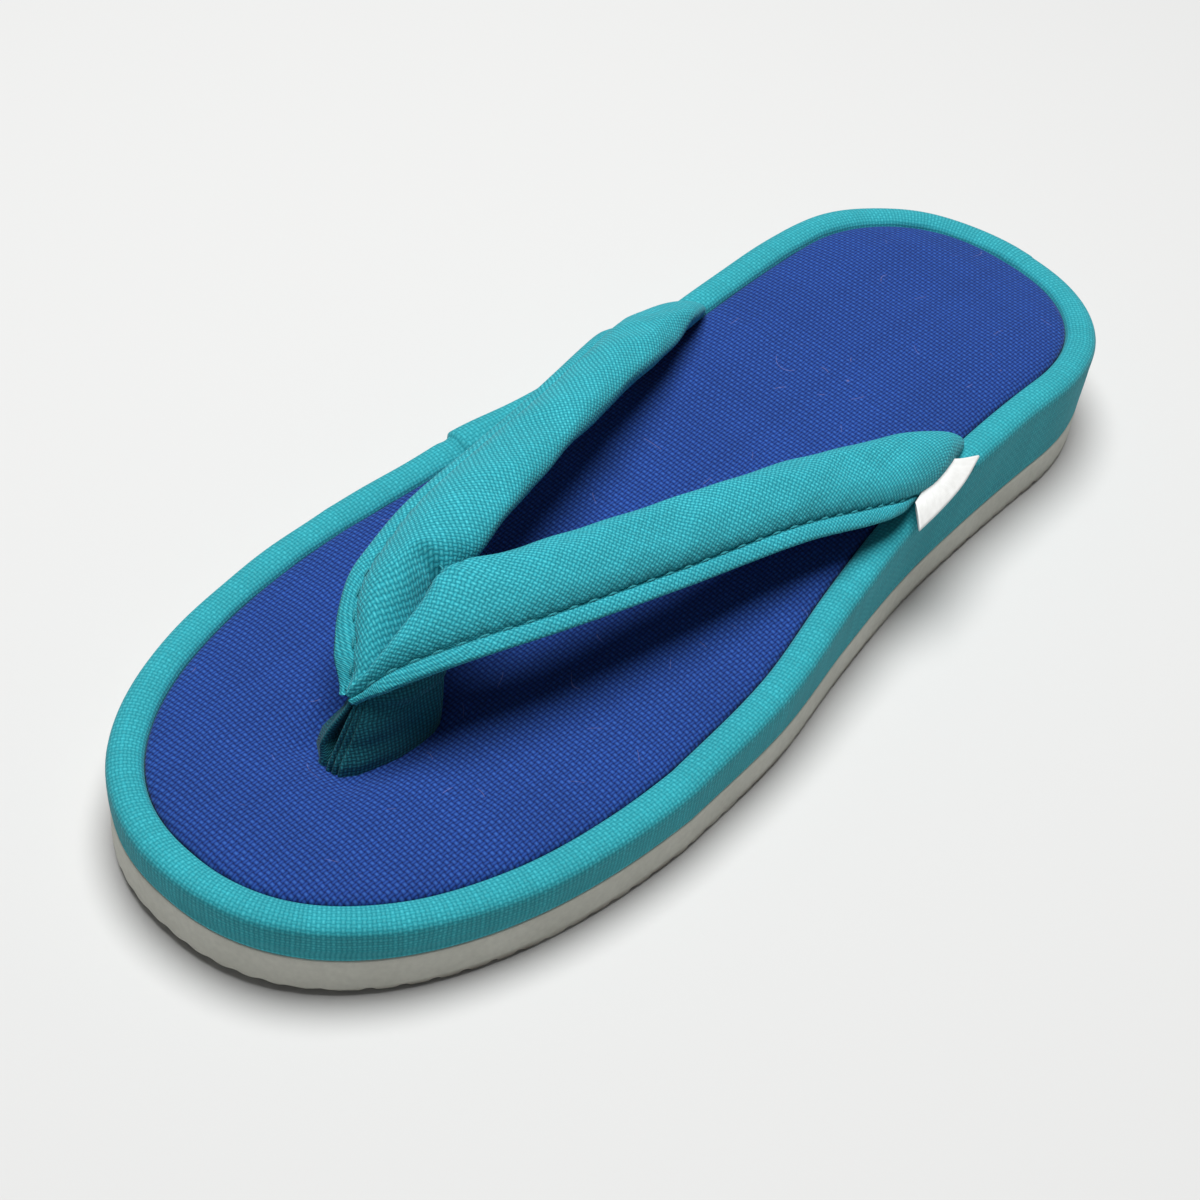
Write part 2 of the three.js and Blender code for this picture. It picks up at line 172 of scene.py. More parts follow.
# its side in plan, from the back edge to the folds: place along, half width at the foot and above
POST_SIDE = [(0.05, 0, 0), (0.01, 0.2, 0.2), (0, 0.5, 0.5), (0.02, 0.74, 0.74), (0.07, 0.92, 0.92),
             (0.15, 1, 1), (0.3, 0.99, 0.96), (0.5, 0.95, 0.86), (0.65, 0.87, 0.72), (0.76, 0.77, 0.57),
             (0.84, 0.66, 0.44)]

# the ribbon tab, from front to rear: its sewn edge under the strap, its folded edge outside, and
# the sewn edge of its lower layer
LABEL = {
    "sewn": [(-33.4, 35.4, 29.8), (-40.0, 33.6, 29.9), (-45.0, 32.4, 29.9), (-49.4, 31.5, 29.7)],
    "fold": [(-30.4, 39.2, 27.7), (-38.5, 38.4, 27.8), (-47.5, 36.9, 27.9), (-55.8, 34.5, 28.1)],
    "under": [(-33.6, 35.6, 28.7), (-39.6, 33.8, 28.2), (-45.0, 32.8, 27.9), (-49.6, 31.8, 27.8)],
}
LABEL_HOLLOW = 2.2               # its rear end curves in between fold and strap
LABEL_CROWN = 0.45
RIBBON = {"thick": 0.3, "fold": 0.35}        # thickness, and radius of the fold

# cloth: spacing of the threads
FOOTBED_THREADS = {"along": 1.05, "across": 0.74}
STRAP_THREADS = {"along": 0.78, "across": 0.72}
RIM_THREADS = {"along": 0.86, "across": 0.74}
STRAP_BIAS = 46                  # the straps' cloth is cut on the bias: degrees from strap to threads

CAMERA = {"azimuth": 127.46, "elevation": 44.95, "roll": 7.46, "distance": 493.3, "lens": 73.7,
          "look_at": (8.5, -6.0, 0.0)}
LAMP = {"place": (-40, -130, 1200), "size": 780, "watts": 20.0}
SURROUND = {"colour": "#f4f6f8", "strength": 0.14}
FLOOR_REACH = 6000


# ---- curves --------------------------------------------------------------------------------

def smooth(places, values, at):
    """Values at the given places, on a smooth curve through the rows of a table."""
    places = np.asarray(places, float)
    values = np.asarray(values, float)
    last = len(places) - 1
    before = np.maximum(np.arange(last + 1) - 1, 0)
    after = np.minimum(np.arange(last + 1) + 1, last)
    slope = (values[after] - values[before]) / (places[after] - places[before])
    at = np.clip(np.asarray(at, float), places[0], places[-1])
    i = np.clip(np.searchsorted(places, at, side="right") - 1, 0, last - 1)
    span = places[i + 1] - places[i]
    t = (at - places[i]) / span
    return ((2 * t**3 - 3 * t**2 + 1) * values[i] + (t**3 - 2 * t**2 + t) * span * slope[i]
            + (3 * t**2 - 2 * t**3) * values[i + 1] + (t**3 - t**2) * span * slope[i + 1])


def run_length(points):
    """Distance along a line of points, from its start."""
    steps = np.linalg.norm(np.diff(points, axis=0), axis=1)
    return np.concatenate([[0.0], np.cumsum(steps)])


def along_line(points, distance, at):
    """Points at the given distances along a line."""
    return np.stack([np.interp(at, distance, column) for column in points.T], -1)


def rail(points, places):
    """Smooth curve through a few points, at fractional places between them."""
    points = np.asarray(points, float)
    distance = run_length(points)
    at = np.interp(places, np.arange(len(points)), distance)
    return np.stack([smooth(distance, points[:, axis], at) for axis in range(3)], -1)


def ease(t):
    """Soft step from 0 to 1."""
    t = np.clip(t, 0.0, 1.0)
    return t * t * (3 - 2 * t)


def soft_noise(along, across, size, seed):
    """Soft, repeatable unevenness between -1 and 1 for places given in millimetres."""
    draw = np.random.default_rng(seed)
    total = np.zeros(np.broadcast(along, across).shape)
    waves = 7
    for _ in range(waves):
        turn = draw.uniform(0, 2 * math.pi)
        length = size * draw.uniform(0.7, 1.6)
        shift = draw.uniform(0, 2 * math.pi)
        run = along * math.cos(turn) + across * math.sin(turn)
        total = total + np.sin(2 * math.pi * run / length + shift)
    return total / waves * 1.6


# ---- outline of the sole --------------------------------------------------------------------

def half_width(along):
    """Half the sole's width: two rounded ends and a smooth waist between them."""
    along = np.asarray(along, float)
    toe = np.clip((along - BALL["along"]) / (LENGTH / 2 - BALL["along"]), 0, 1)
    heel = np.clip((HEEL["along"] - along) / (LENGTH / 2 + HEEL["along"]), 0, 1)
    waist = smooth(WAIST["along"], WAIST["half"], along)
    round_toe = BALL["half"] * (1 - toe**TOE_ROUND) ** (1 / TOE_ROUND)
    round_heel = HEEL["half"] * (1 - heel**HEEL_ROUND) ** (1 / HEEL_ROUND)
    return np.where(along > BALL["along"], round_toe, np.where(along < HEEL["along"], round_heel, waist))


def side_bow(along):
    """How far the sole's middle line lies to the side."""
    return smooth(BOW["along"], BOW["side"], along)


def spring(along):
    """How far the sole rises towards the toe."""
    run = LENGTH / 2 - TOE_SPRING["from"]
    return TOE_SPRING["rise"] * (np.maximum(np.asarray(along) - TOE_SPRING["from"], 0) / run) ** 2


def rim_height(along):
    """Height of the seam between the rim and the insole."""
    return smooth(RIM_HEIGHT["along"], RIM_HEIGHT["up"], along) + spring(along)


def side_line(along, sign):
    """The sole's outer side, sign 1, or inner side, sign -1, in plan."""
    return np.stack([along, side_bow(along) + sign * half_width(along)], -1)


def outline(outer, inner):
    """Closed outline from the two sides, heel tip first, and its outward normals."""
    edge = np.concatenate([outer, inner[1:-1][::-1]])
    run = np.roll(edge, -1, axis=0) - np.roll(edge, 1, axis=0)
    run /= np.linalg.norm(run, axis=1)[:, None]
    return edge, np.stack([-run[:, 1], run[:, 0]], -1)


def sole_edge(count):
    """The sole's closed outline through points at even distances, and its outward normals."""
    turn = np.linspace(0, math.pi, 4001)
    along = -np.cos(turn) * LENGTH / 2
    sides = []
    for sign in (1, -1):
        line = side_line(along, sign)
        distance = run_length(line)
        at = np.linspace(0, distance[-1], count // 2 + 1)
        sides.append(along_line(line, distance, at))
    return outline(*sides)


# ---- meshes ---------------------------------------------------------------------------------

def place_in_scene(name, data):
    thing = bpy.data.objects.new(name, data)
    bpy.context.scene.collection.objects.link(thing)
    return thing


def make_object(name, points, faces, uvs=None, material=None):
    """Object from points in millimetres. uvs holds one (u, v) in millimetres for each face corner."""
    mesh = bpy.data.meshes.new(name)
    mesh.from_pydata([tuple(p) for p in np.asarray(points) * MM], [], [tuple(f) for f in faces])
    if uvs is not None:
        layer = mesh.uv_layers.new(name="cloth")
        layer.data.foreach_set("uv", (np.asarray(uvs, float) * MM).ravel())
    mesh.validate()
    mesh.polygons.foreach_set("use_smooth", [True] * len(mesh.polygons))
    if material:
        mesh.materials.append(material)
    return place_in_scene(name, mesh)


def read_points(thing):
    flat = np.empty(len(thing.data.vertices) * 3)
    thing.data.vertices.foreach_get("co", flat)
    return flat.reshape(-1, 3) / MM


def write_points(thing, points):
    thing.data.vertices.foreach_set("co", (points * MM).ravel())
    thing.data.update()


def numbered(shape, closed, start=0):
    """Numbers of a grid's points by row and column. A closed grid repeats its first column."""
    ids = start + np.arange(shape[0] * shape[1]).reshape(shape[:2])
    return np.concatenate([ids, ids[:, :1]], axis=1) if closed else ids


def quads(table):
    """The four corners of each quad in a table of point numbers or places."""
    return np.stack([table[:-1, :-1], table[:-1, 1:], table[1:, 1:], table[1:, :-1]], 2)


def closed_tables(points):
    """Distance round each closed row and down each column, with the first column repeated."""
    loop = np.concatenate([points, points[:, :1]], axis=1)
    round_row = np.linalg.norm(np.diff(loop, axis=1), axis=2)
    u = np.concatenate([np.zeros((len(loop), 1)), np.cumsum(round_row, axis=1)], axis=1)
    down = np.linalg.norm(np.diff(loop, axis=0), axis=2)
    v = np.concatenate([np.zeros((1, loop.shape[1])), np.cumsum(down, axis=0)], axis=0)
    return u, v


class Skin:
    """Points, faces and cloth coordinates of one piece, gathered patch by patch."""

    def __init__(self):
        self.points = []
        self.faces = []
        self.uvs = []

    def add_points(self, points):
        start = sum(len(block) for block in self.points)
        self.points.append(np.asarray(points, float).reshape(-1, 3))
        return start

    def add_faces(self, faces, uvs):
        self.faces.extend(tuple(int(i) for i in face) for face in faces)
        self.uvs.append(np.asarray(uvs, float).reshape(-1, 2))

    def grid(self, points, closed=False, uv=None):
        """A patch through rows of points. Returns the index of its first point."""
        start = self.add_points(points)
        ids = numbered(points.shape, closed, start)
        self.add_faces(quads(ids).reshape(-1, 4), quads(np.stack(uv or closed_tables(points), -1)))
        return start

    def ladder(self, ring, first, across):
        """Fills a ring that is already there with rows of quads between its two sides."""
        count = len(ring)
        half = count // 2
        left = ring[1:half]
        right = ring[half + 1:][::-1]
        t = np.linspace(0, 1, across + 1)[1:-1][None, :, None]
        rungs = left[:, None] * (1 - t) + right[:, None] * t
        start = self.add_points(rungs)
        inner = start + np.arange((half - 1) * (across - 1)).reshape(half - 1, across - 1)
        outer_ids = first + np.arange(1, half)[:, None]
        inner_ids = first + np.arange(half + 1, count)[::-1][:, None]
        ids = np.concatenate([outer_ids, inner, inner_ids], axis=1)
        places = np.concatenate([left[:, None], rungs, right[:, None]], axis=1)
        flat = places[..., :2]
        self.add_faces(quads(ids).reshape(-1, 4), quads(flat))
        for tip, row in ((0, 0), (half, -1)):
            for c in range(across):
                self.add_faces([(first + tip, ids[row, c], ids[row, c + 1])],
                               [ring[tip][:2], flat[row, c], flat[row, c + 1]])

    def ladder_ends(self, rings, start, first, last):
        """Fills the first and the last ring, each with its own number of quads across."""
        self.ladder(rings[0], start, first)
        self.ladder(rings[-1], start + (len(rings) - 1) * rings.shape[1], last)

    def fan_ends(self, rings, start):
        """Closes both ends of a tube with triangles round their middle."""
        count = rings.shape[1]
        for ring, first in ((rings[0], start), (rings[-1], start + (len(rings) - 1) * count)):
            hub = self.add_points(ring.mean(0)[None])
            for c in range(count):
                self.add_faces([(hub, first + c, first + (c + 1) % count)], np.zeros((3, 2)))

    def build(self, name, material):
        points = np.concatenate(self.points)
        thing = make_object(name, points, self.faces, np.concatenate(self.uvs), material)
        shell = bmesh.new()
        shell.from_mesh(thing.data)
        bmesh.ops.recalc_face_normals(shell, faces=shell.faces)
        shell.to_mesh(thing.data)
        shell.free()
        return thing


# ---- sole ------------------------------------------------------------------------------------

def groove_depth(along):
    """Depth of the cross grooves under the outsole, with rounded flanks."""
    place = np.mod(along - FIRST_GROOVE, RIB["pitch"])
    inside = (along >= FIRST_GROOVE) & (along < FIRST_GROOVE + GROOVES * RIB["pitch"])
    flank = 0.3 * RIB["groove"]
    shape = ease(place / flank) * ease((RIB["groove"] - place) / flank)
    return np.where(inside & (place < RIB["groove"]), RIB["deep"] * shape, 0.0)


def outsole_stations():
    """Places along the sole: close together in each groove and where the tips turn."""
    across_groove = np.linspace(0, RIB["groove"], 9)
    land = np.linspace(RIB["groove"], RIB["pitch"], 4)[1:-1]
    one = np.concatenate([across_groove, land])
    ribs = (FIRST_GROOVE + RIB["pitch"] * np.arange(GROOVES)[:, None] + one).ravel()
    tip = RIB["free"] * (np.arange(TIP_STATIONS) / TIP_STATIONS) ** 2
    return np.concatenate([tip - LENGTH / 2, ribs, LENGTH / 2 - tip[::-1]])


def outsole():
    """Foam outsole: cross ribs underneath, whose ends scallop its bottom edge."""
    stations = outsole_stations()
    edge, outward = outline(side_line(stations, 1), side_line(stations, -1))
    groove = groove_depth(edge[:, 0])
    turn_in = ease((np.abs(edge[:, 0]) - LENGTH / 2 + RIB_TURN["before_tip"]) / RIB_TURN["over"])
    scallop = RIB["deep"] * np.abs(np.sin(math.pi * run_length(edge) / RIB["pitch"])) ** 3
    at_edge = groove * (1 - turn_in) + scallop * turn_in
    uneven = soft_noise(edge[:, 0], edge[:, 1], RIB_UNEVEN["size"], 5)
    at_edge = at_edge * (1 + RIB_UNEVEN["share"] * uneven)
    quarter = np.linspace(0, math.pi / 2, 5)
    rows = [(FOOT_ROUND * (1 - math.sin(a)), FOOT_ROUND * (1 - math.cos(a))) for a in quarter]
    top = OUTSOLE_THICK
    rows += [(0, height) for height in (1.8, 3.2, 5.2, 7.2, top - 0.4)]
    rows += [(0.12, top - 0.1), (0.5, top), (3.0, top)]
    rings = []
    for inset, height in rows:
        plan = edge - outward * inset
        cut = at_edge * RIB["edge_share"] * max(1 - height / RIB["edge_high"], 0)
        rings.append(np.column_stack([plan, height + cut + spring(edge[:, 0])]))
    rings = np.array(rings)
    skin = Skin()
    skin.ladder_ends(rings, skin.grid(rings, closed=True), first=10, last=10)
    return skin.build("outsole_foam", sole_foam())


def wrap_section():
    """Rows of the wrapped wedge: inset, height, and whether the height follows the foot, 0, or the
    rim, 1."""
    wall_top = WRAP["over"][0]
    knots = range(len(WRAP["inset"]))
    place = np.linspace(0, knots[-1], 26)
    inset, over = (smooth(knots, WRAP[key], place) for key in ("inset", "over"))
    foot = [(1.6, 0.0, 0), (0.5, -0.22, 0), (0.1, -0.12, 0), (0.0, 0.6, 0)]
    wall = [(-0.3 * float(ease(t)), 0.7 * (1 - t) + wall_top * t, t)
            for t in (0.15, 0.3, 0.45, 0.6, 0.75, 0.88)]
    roll = [(i, o, 1) for i, o in zip(inset, over)]
    tuck = [(BED["inset"], -2.3, 1), (BED["inset"], -BED["deep"], 1)]
    return np.array(foot + wall + roll + tuck)


def wrap_points(edge, outward, proud):
    """The wedge's skin over each point of the sole's edge, row by row, proud by the table's mm."""
    section = wrap_section()
    lean = np.gradient(section[:, 0]), np.gradient(section[:, 1] + 30 * section[:, 2])
    size = np.hypot(*lean)
    out, up = lean[1] / size, lean[0] / size
    rows = []
    for (inset, height, share), o, u, lift in zip(section, out, up, proud):
        plan = edge - outward * (inset - lift * o)[:, None]
        foot = OUTSOLE_THICK + GAP + spring(plan[:, 0])
        rim = rim_height(plan[:, 0])
        rows.append(np.column_stack([plan, foot * (1 - share) + rim * share + height + lift * u]))
    return np.array(rows)


def wrap_lap(along, across):
    """The wrap's two ends overlap on the inner side: the rear one lies on top, folded under."""
    behind = WRAP_LAP["at"] - along
    lap = ease(behind / WRAP_LAP["lip"]) * (1 - 0.8 * ease((behind - 3) / WRAP_LAP["fade"]))
    dent = 0.25 * np.exp(-((behind + 1.2) / 1.2) ** 2)
    return np.where(across < 0, WRAP_LAP["proud"] * lap - dent, 0)


def wedge():
    """Foam wedge in its canvas wrap, open at the top where the insole lies."""
    edge, outward = sole_edge(WRAP_COLUMNS)
    rows = len(wrap_section())
    around = run_length(np.concatenate([edge, edge[:1]]))
    level = np.arange(rows)
    slack = soft_noise(around[None, :-1], level[:, None] * 1.5, WRAP_SLACK["size"], 3)
    slack *= WRAP_SLACK["high"]
    fade = ease((level - 3) / 5) * ease((rows - 4 - level) / 5)
    proud = (slack + wrap_lap(edge[:, 0], edge[:, 1])[None]) * fade[:, None]
    points = wrap_points(edge, outward, proud)
    one_section = points[:, 40]
    uv = tuple(np.meshgrid(around, run_length(one_section)))
    skin = Skin()
    skin.ladder_ends(points, skin.grid(points, closed=True, uv=uv), first=6, last=6)
    return skin.build("wedge_wrap", rim_canvas())


def insole():
    """Padded canvas insole, pressed into the wrap's bed and pulled down round the post."""
    edge, outward = sole_edge(PAD_COLUMNS)
    rows = [(0.35, GAP - BED["deep"])] + list(zip(PAD["in"], PAD["over"]))
    rings = []
    for inside, over in rows:
        plan = edge - outward * (BED["inset"] + PAD_GAP + inside)
        rings.append(np.column_stack([plan, rim_height(plan[:, 0]) + over]))
    rings = np.array(rings)
    flat = np.concatenate([rings, rings[:, :1]], axis=1)
    skin = Skin()
    start = skin.grid(rings, closed=True, uv=(flat[..., 0], flat[..., 1]))
    skin.ladder_ends(rings, start, first=6, last=64)
    pad = skin.build("insole_pad", footbed_canvas())
    points = read_points(pad)
    along, across, up = points.T.copy()
    rim = rim_height(along)
    crown = rim + PAD["over"][-1]
    level = np.where(up > crown - 0.4, crown, up)
    uneven = soft_noise(along, across, PAD_UNEVEN["size"], 11) * PAD_UNEVEN["high"]
    points[:, 2] = np.where(up > rim - 1.0, level + uneven - post_dimple(points), level)
    write_points(pad, points)
    return pad


def post_dimple(points):
    """How far the post pulls the insole's cloth down round its foot."""
    foot = POST["foot"]
    along = points[:, 0]
    nearest = np.clip(along, foot["back"] + 4, foot["front"] - 2)
    length = foot["front"] - foot["back"]
    forward = (nearest - foot["back"]) / length
    places, halves, _ = np.array(POST_SIDE[4:]).T
    spread = foot["half"] * np.interp(forward, places, halves)
    beside = np.maximum(np.abs(points[:, 1] - foot["middle"]) - spread, 0)
    away = np.hypot(along - nearest, beside)
    pull = 0.55 + 0.45 * ease((along - foot["back"]) / length)
    return sum(deep * np.exp(-(away / reach) ** 2) for deep, reach in DIMPLE) * pull


# ---- straps ----------------------------------------------------------------------------------

def strap_frame():
    """Middle line, half width, thickness and directions of the strap's sections, V tip first."""
    rows = len(STRAP["thick"])
    coarse = np.linspace(0, rows - 1, 400)
    middle = (rail(STRAP["outer"], coarse) + rail(STRAP["inner"], coarse)) / 2
    distance = run_length(middle)
    change = np.interp(STRAP_STEP["rows_near_v"], coarse, distance)
    near = np.arange(0, change, STRAP_STEP["near_v"])
    count = int((distance[-1] - change) / STRAP_STEP["behind"])
    place = np.interp(np.concatenate([near, np.linspace(change, distance[-1], count)]), distance, coarse)
    outer = rail(STRAP["outer"], place)
    inner = rail(STRAP["inner"], place)
    ahead = np.gradient(outer, axis=0) + np.gradient(inner, axis=0)
    ahead /= np.linalg.norm(ahead, axis=1)[:, None]
    across = (outer - inner) / 2
    half = np.linalg.norm(across, axis=1)
    across /= half[:, None]
    up = np.cross(across, ahead)
    up /= np.linalg.norm(up, axis=1)[:, None]
    thick = smooth(range(rows), STRAP["thick"], place)
    return place, (outer + inner) / 2, across, up, half, thick


def flange_share(place):
    """1 where the flange has its whole width, falling to 0 at the tucked end."""
    return ease(FLANGE["last_row"] + 1 - place)


def strap_section(place, run, half, thick):
    """One section as (across, up) in millimetres: the padded body, then the flange's two faces."""
    opening = math.radians(BODY_OPENING)
    turn = np.linspace(opening, 2 * math.pi - opening, BODY_COLUMNS)
    body = np.stack([np.cos(turn) * half, np.sin(turn) * thick / 2], -1)
    body[:, 0] += STRAP_TIGHT * ease(-np.cos(turn))
    uneven = soft_noise(run, LUMPS["girth"] * turn, LUMPS["size"], 5)
    lumps = LUMPS["high"] * uneven * ease(1 - np.cos(turn))
    lumps *= ease(place - LUMPS["from_row"]) * ease(LUMPS["to_row"] - place)
    body += lumps[:, None] * np.stack([np.cos(turn), np.sin(turn)], -1)
    share = float(flange_share(place))
    whole = FLANGE["tip"] + (FLANGE["wide"] - FLANGE["tip"]) * float(ease(place / 1.2))
    wide = FLANGE["tail"] + (whole - FLANGE["tail"]) * share
    leaf = min(FLANGE["leaf"], thick * 0.25)
    between_stitches = abs(math.sin(math.pi * run / STITCH_PITCH)) ** 0.7 * share
    near_seam = (1 - np.arange(5) / 5) ** 1.5
    body[:5, 0] += near_seam * STITCH_PULL["in"] * between_stitches
    body[:5, 1] -= near_seam * STITCH_PULL["down"] * (1 - between_stitches)
    droop = math.radians(smooth(FLANGE_DROOP["row"], FLANGE_DROOP["degrees"], place))
    slit = FLANGE["slit"] * ease((3.2 - place) / 1.6)
    leaf_face = np.array([
        (0.0, -0.05 * leaf),
        (0.3 + 0.18 * between_stitches, 0.1 * leaf),
        (0.5 + 0.18 * between_stitches, 0.75 * leaf),
        (0.35 * wide, 1.1 * leaf),
        (0.6 * wide, 1.1 * leaf),
        (0.85 * wide, 0.95 * leaf),
        (0.97 * wide, 0.6 * leaf),
        (wide - slit, 0.0),
    ])
    lower_face = leaf_face[-2::-1] * (1, -1)
    leaves = np.concatenate([leaf_face, lower_face])
    turned = np.stack([
        leaves[:, 0] * math.cos(droop) + leaves[:, 1] * math.sin(droop),
        leaves[:, 1] * math.cos(droop) - leaves[:, 0] * math.sin(droop)], -1)
    return np.concatenate([body, (turned + (half, 0))[::-1]])


def strap_rings():
    """All sections of the outer strap, their distances along it and their places in the tables."""
    place, middle, across, up, half, thick = strap_frame()
    run = run_length(middle)
    rings = []
    for i in range(len(place)):
        section = strap_section(place[i], run[i], half[i], thick[i])
        rings.append(middle[i] + section[:, :1] * across[i] + section[:, 1:] * up[i])
    return np.array(rings), run, place


def plump(rings, place):
    """Lets the padding push the sewn cover out, by a short cloth simulation on a coarser grid. The
    cover is held at its seam, its flange and its ends, and is a little longer than they are."""
    rows, columns = (np.arange(0, count, COVER_STEP) for count in rings.shape[:2])
    coarse = rings[np.ix_(rows, columns)]
    faces = quads(numbered(coarse.shape, closed=True)).reshape(-1, 4)
    cover = make_object("strap_cover", coarse.reshape(-1, 3) * PLUMP["scale"], faces)
    held = cover.vertex_groups.new(name="held")
    edge = COVER_FREE["columns_held"]
    fixed_row = (place[rows] < COVER_FREE["from_row"]) | (place[rows] > COVER_FREE["to_row"])
    fixed_column = (columns < edge) | (columns >= BODY_COLUMNS - edge)
    fixed = fixed_row[:, None] | fixed_column[None]
    held.add(np.flatnonzero(fixed.ravel()).tolist(), 1.0, "REPLACE")
    cloth = cover.modifiers.new("cover", "CLOTH")
    cloth.settings.quality = PLUMP["quality"]
    cloth.settings.mass = PLUMP["mass"]
    cloth.settings.bending_stiffness = PLUMP["bending"]
    cloth.settings.use_pressure = True
    cloth.settings.uniform_pressure_force = PLUMP["pressure"]
    cloth.settings.shrink_min = -PLUMP["slack"]
    cloth.settings.vertex_group_mass = "held"
    cloth.settings.effector_weights.gravity = 0
    cloth.point_cache.frame_end = PLUMP["frames"]
    for number in range(1, PLUMP["frames"] + 1):
        bpy.context.scene.frame_set(number)
    settled = cover.evaluated_get(bpy.context.evaluated_depsgraph_get())
    moved = read_points(settled).reshape(coarse.shape) / PLUMP["scale"] - coarse
    bpy.context.scene.frame_set(1)
    bpy.data.objects.remove(cover)
    size = np.linalg.norm(moved, axis=2, keepdims=True)
    moved *= np.minimum(1, PLUMP["most"] / np.maximum(size, 1e-9))
    moved = np.concatenate([moved, moved[:, :1]], axis=1)
    for axis, known in enumerate((rows, np.append(columns, rings.shape[1]))):
        moved = np.apply_along_axis(
            lambda line: np.interp(np.arange(rings.shape[axis]), known, line), axis, moved)
    return rings + moved


def one_strap():
    """The outer strap as a closed skin, in the V's own frame."""
    rings, run, place = strap_rings()
    rings = plump(rings, place)
    u, _ = closed_tables(rings)
    v = np.repeat(run[:, None], u.shape[1], axis=1)
    bias = math.radians(STRAP_BIAS)
    threads = (v * math.cos(bias) + u * math.sin(bias), u * math.cos(bias) - v * math.sin(bias))
    skin = Skin()
    skin.fan_ends(rings, skin.grid(rings, closed=True, uv=threads))
    return skin.build("upper_straps", strap_canvas())


def upper():
    """Both straps, cut at the V's middle plane and sewn together there."""
    strap = one_strap()
    shell = bmesh.new()
    shell.from_mesh(strap.data)
    bmesh.ops.bisect_plane(
        shell, geom=shell.verts[:] + shell.edges[:] + shell.faces[:], dist=1e-7,
        plane_co=(0, 0, 0), plane_no=(0, 1, 0), clear_inner=True)
    twin = bmesh.ops.duplicate(shell, geom=shell.verts[:] + shell.edges[:] + shell.faces[:])
    twin_verts = [e for e in twin["geom"] if isinstance(e, bmesh.types.BMVert)]
    twin_faces = [e for e in twin["geom"] if isinstance(e, bmesh.types.BMFace)]
    bmesh.ops.scale(shell, vec=(1, -1, 1), verts=twin_verts)
    bmesh.ops.reverse_faces(shell, faces=twin_faces)
    seam = [v for v in shell.verts if abs(v.co.y) < 1e-6]
    bmesh.ops.remove_doubles(shell, verts=seam, dist=2e-5)
    bmesh.ops.recalc_face_normals(shell, faces=shell.faces)
    shell.to_mesh(strap.data)
    shell.free()
    write_points(strap, finish_v(read_points(strap)))
    strap.data.polygons.foreach_set("use_smooth", [True] * len(strap.data.polygons))
    return strap


def finish_v(points):
    """From the mirrored V to its place on the sole: sewn, one strap shortened, moved sideways."""
    points = sew_v(points)
    reach = INNER_SHORTER["from"] - STRAP["inner"][-1][0]
    inner_end = np.where(points[:, 1] < 0, (INNER_SHORTER["from"] - points[:, 0]) / reach, 0)
    points[:, 0] += INNER_SHORTER["by"] * np.maximum(inner_end, 0) ** 2
    along, across, up = points.T.copy()
    inner_side = across < 0
    from_middle = np.abs(across)
    outer_push, inner_push = (smooth(INNER_WIDER["along"], INNER_WIDER[key], along)
                              for key in ("outer_edge", "inner_edge"))
    inner_line = smooth([row[0] for row in STRAP["inner"][9:2:-1]],
                        [row[1] for row in STRAP["inner"][9:2:-1]], along)
    start, over = WIDER_FROM["in"], WIDER_FROM["over"]
    wider = outer_push * ease((from_middle - inner_line - start) / over)
    wider -= inner_push * ease((inner_line + over - from_middle) / over)
    points[:, 1] -= np.where(inner_side, wider, 0)
    low = INNER_END_LOW
    at_end = ease((low["from"] - along) / low["over"]) * ease((up - low["above"]) / 3)
    over_rim = np.where(inner_side, at_end, 0)
    points[:, 1] -= low["side"] * over_rim
    at_edge = ease((from_middle - low["edge_from"]) / low["edge_over"])
    points[:, 2] -= over_rim * (low["down"] + low["edge_down"] * at_edge)
    points[:, 1] += V_MIDDLE
    return points


def sew_v(points):
    """Bends the V's middle seam from its tip to a stitched notch, rolls each strap's padding down to
    it like two tubes sewn side by side, and puckers the cloth round the notch."""
    along, across, up = points.T.copy()
    at_tip = ease((along - TIP_FILL["from"]) / 2)
    along += TIP_FILL["by"] * np.exp(-(across / TIP_FILL["wide"]) ** 2) * at_tip
    side, reach, deep, inner_roll, outer_roll = (
        smooth(V_SEAM["along"], V_SEAM[key], along)
        for key in ("side", "reach", "deep", "inner_roll", "outer_roll"))
    on_top = ease((up - v_top(along) + V_TOP["deep"]) / V_TOP["over"])
    near = np.clip(1 - np.abs(across) / np.where(across < 0, inner_roll, outer_roll), 0, 1)
    lowered = deep * np.where(across < 0, near**1.4, 1 - np.sqrt(1 - near**2))
    from_notch = np.hypot(along - NOTCH["along"], across)
    round_notch = np.arctan2(across, along - NOTCH["along"])
    lowered += NOTCH["deep"] * np.exp(-(from_notch / NOTCH["wide"]) ** 2)
    ring = from_notch / NOTCH["pucker_wide"]
    waves = np.cos(NOTCH["puckers"] * round_notch + 0.8)
    lowered += NOTCH["pucker"] * waves * ring * np.exp(0.5 - ring**2)
    return np.stack([along, across + side * np.exp(-(across / reach) ** 2), up - lowered * on_top], -1)


def v_top(along):
    """Height of the straps' top beside the V's seam."""
    rows = STRAP["inner"][3::-1]
    return smooth([row[0] for row in rows], [row[2] + V_TOP["padding"] for row in rows], along)


def add_stitch(skin, spine, upward, sideways):
    """One stitch: a short rounded thread along its spine."""
    count, sides = STITCH["points"], STITCH["sides"]
    thin = STITCH["thick"] / 2 * np.sqrt(1 - np.linspace(-0.97, 0.97, count) ** 2)
    turn = np.linspace(0, 2 * math.pi, sides + 1)[:-1]
    rings = (spine[:, None] + sideways[:, None] * (np.cos(turn)[None] * thin[:, None])[..., None]
             + upward[:, None] * (np.sin(turn)[None] * thin[:, None])[..., None])
    start = skin.grid(rings, closed=True)
    for first in (start, start + (count - 1) * sides):
        skin.add_faces([tuple(first + np.arange(sides))], np.zeros((sides, 2)))


